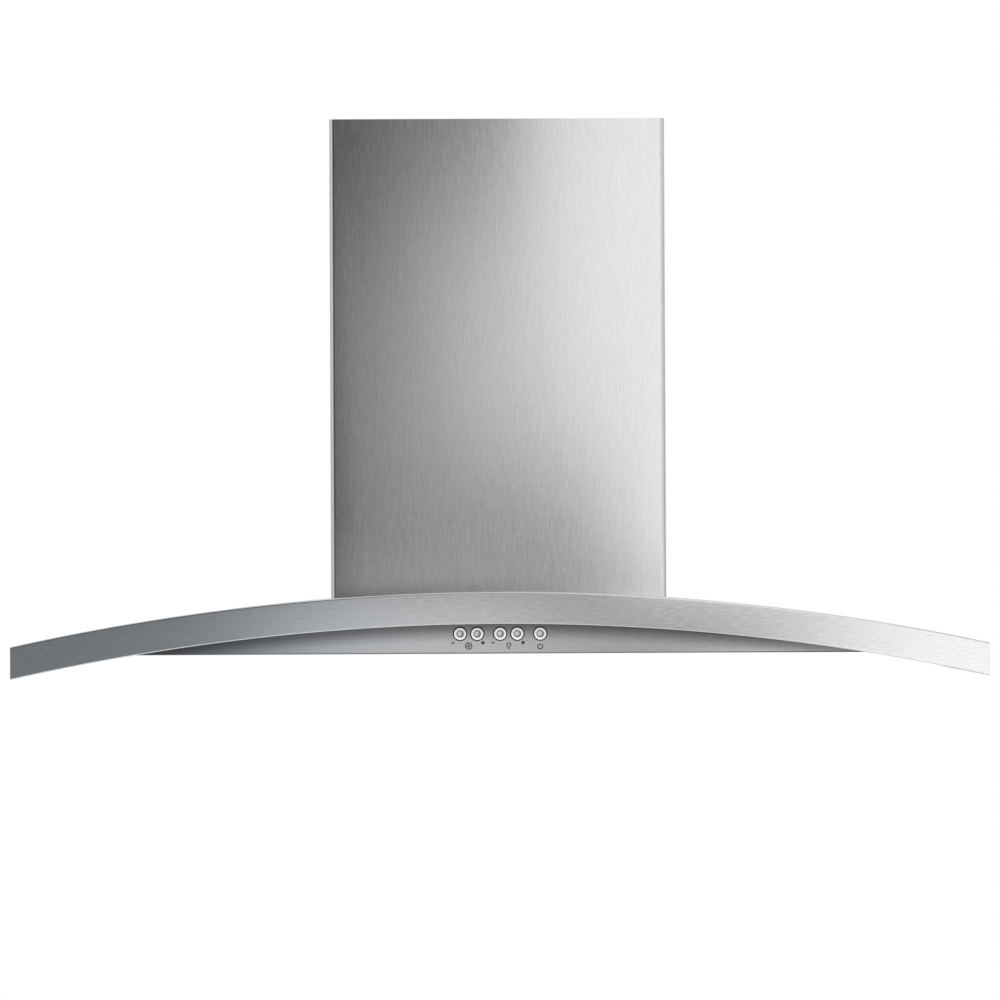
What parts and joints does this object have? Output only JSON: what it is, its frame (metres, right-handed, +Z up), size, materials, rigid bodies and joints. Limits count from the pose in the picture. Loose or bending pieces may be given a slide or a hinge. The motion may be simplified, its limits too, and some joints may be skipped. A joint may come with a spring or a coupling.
{
  "type": "wall-mount chimney range hood",
  "caption": "Wall-mounted stainless range hood: arched canopy with recessed push-button fascia, baffle filters, lamps, squirrel-cage blower and telescopic square chimney.",
  "frame": {"origin": "centre of the four wall screw holes, on the wall plane", "axes": "+X across the hood to its right side seen from the front, +Y into the wall, +Z up; the front band faces -Y"},
  "size_m": [0.9, 0.5, 0.5299],
  "materials": {
    "brushed_stainless": "brushed stainless sheet",
    "galvanised_sheet": "bright galvanised sheet",
    "stainless_screws": "plain stainless",
    "zinc_plated_steel": "bright zinc plate",
    "filter_steel": "satin stainless",
    "latch_plastic": "moulded, matt",
    "button_chrome": "satin chrome plate",
    "black_plastic": "moulded, matt",
    "board_laminate": "green lacquer",
    "switch_plastic": "moulded",
    "white_plastic": "moulded",
    "scroll_plastic": "moulded, glass filled",
    "motor_enamel": "grey enamel",
    "ground_steel": "ground",
    "fan_steel": "galvanised strip",
    "flap_aluminium": "mill finish",
    "zinc_cast": "die cast",
    "bezel_chrome": "polished",
    "frosted_glass": "frosted",
    "lamp_ceramic": "glazed white"
  },
  "bodies": {
    "hood": {"canopy_shell": "brushed_stainless", "control_fascia": "brushed_stainless", "rear_panel": "galvanised_sheet", "underside_pan": "brushed_stainless", "pan_screws": "stainless_screws", "button_carrier": "black_plastic", "control_board": "board_laminate", "key_switches": "switch_plastic", "control_housing": "black_plastic", "blower_box": "galvanised_sheet", "blower_cover": "galvanised_sheet", "blower_screws": "zinc_plated_steel", "scroll_left": "scroll_plastic", "scroll_right": "scroll_plastic", "scroll_screws": "zinc_plated_steel", "motor_bracket": "galvanised_sheet", "motor": "motor_enamel", "duct_collar": "galvanised_sheet", "collar_screws": "zinc_plated_steel", "damper_pin": "ground_steel", "junction_box": "galvanised_sheet", "junction_cover": "galvanised_sheet", "cable_clamp": "zinc_cast", "capacitor": "white_plastic", "capacitor_strap": "zinc_plated_steel", "lower_chimney": "brushed_stainless", "chimney_screws": "zinc_plated_steel", "upper_bracket": "galvanised_sheet", "lamp_left_bezel": "bezel_chrome", "lamp_left_lens": "frosted_glass", "lamp_left_cup": "galvanised_sheet", "lamp_left_bulb": "lamp_ceramic", "lamp_right_bezel": "bezel_chrome", "lamp_right_lens": "frosted_glass", "lamp_right_cup": "galvanised_sheet", "lamp_right_bulb": "lamp_ceramic"},
    "filter_left": {"filter_left_frame": "filter_steel", "filter_left_baffles": "filter_steel"},
    "latch_left": {"filter_left_latch": "latch_plastic"},
    "filter_right": {"filter_right_frame": "filter_steel", "filter_right_baffles": "filter_steel"},
    "latch_right": {"filter_right_latch": "latch_plastic"},
    "fan": {"fan_shaft": "ground_steel", "fan_disc": "fan_steel", "fan_rings": "fan_steel", "fan_blades": "fan_steel"},
    "damper_front": {"damper_flap_front": "flap_aluminium"},
    "damper_rear": {"damper_flap_rear": "flap_aluminium"},
    "upper_cover": {"upper_chimney": "brushed_stainless"},
    "key_fan_minus": {"button_fan_minus": "button_chrome"},
    "key_fan_plus": {"button_fan_plus": "button_chrome"},
    "key_light_minus": {"button_light_minus": "button_chrome"},
    "key_light_plus": {"button_light_plus": "button_chrome"},
    "key_memory": {"button_memory": "button_chrome"}
  },
  "joints": [
    {"name": "upper_cover_slide", "type": "slide", "parent": "hood", "child": "upper_cover", "axis": [0, 0, 1], "range_m": [0, 0.37]},
    {"name": "fan_spin", "type": "hinge", "parent": "hood", "child": "fan", "pos_m": [0, -0.098, -0.004], "axis": [1, 0, 0], "continuous": true},
    {"name": "damper_front_hinge", "type": "hinge", "parent": "hood", "child": "damper_front", "pos_m": [0, -0.146, 0.149], "axis": [-1, 0, 0], "range_deg": [0, 75]},
    {"name": "damper_rear_hinge", "type": "hinge", "parent": "hood", "child": "damper_rear", "pos_m": [0, -0.146, 0.149], "axis": [1, 0, 0], "range_deg": [0, 75]},
    {"name": "filter_left_hinge", "type": "hinge", "parent": "hood", "child": "filter_left", "pos_m": [0, -0.0845, -0.1826], "axis": [1, 0, 0], "range_deg": [0, 75]},
    {"name": "latch_left_slide", "type": "slide", "parent": "filter_left", "child": "latch_left", "axis": [0, 1, 0], "range_m": [0, 0.005], "stiffness_N_per_m": 300, "springref_m": -0.006},
    {"name": "filter_right_hinge", "type": "hinge", "parent": "hood", "child": "filter_right", "pos_m": [0, -0.0845, -0.1826], "axis": [1, 0, 0], "range_deg": [0, 75]},
    {"name": "latch_right_slide", "type": "slide", "parent": "filter_right", "child": "latch_right", "axis": [0, 1, 0], "range_m": [0, 0.005], "stiffness_N_per_m": 300, "springref_m": -0.006},
    {"name": "button_fan_minus_press", "type": "slide", "parent": "hood", "child": "key_fan_minus", "axis": [0, 1, 0], "range_m": [0, 0.0015], "stiffness_N_per_m": 900, "springref_m": -0.001},
    {"name": "button_fan_plus_press", "type": "slide", "parent": "hood", "child": "key_fan_plus", "axis": [0, 1, 0], "range_m": [0, 0.0015], "stiffness_N_per_m": 900, "springref_m": -0.001},
    {"name": "button_light_minus_press", "type": "slide", "parent": "hood", "child": "key_light_minus", "axis": [0, 1, 0], "range_m": [0, 0.0015], "stiffness_N_per_m": 900, "springref_m": -0.001},
    {"name": "button_light_plus_press", "type": "slide", "parent": "hood", "child": "key_light_plus", "axis": [0, 1, 0], "range_m": [0, 0.0015], "stiffness_N_per_m": 900, "springref_m": -0.001},
    {"name": "button_memory_press", "type": "slide", "parent": "hood", "child": "key_memory", "axis": [0, 1, 0], "range_m": [0, 0.0015], "stiffness_N_per_m": 900, "springref_m": -0.001}
  ]
}
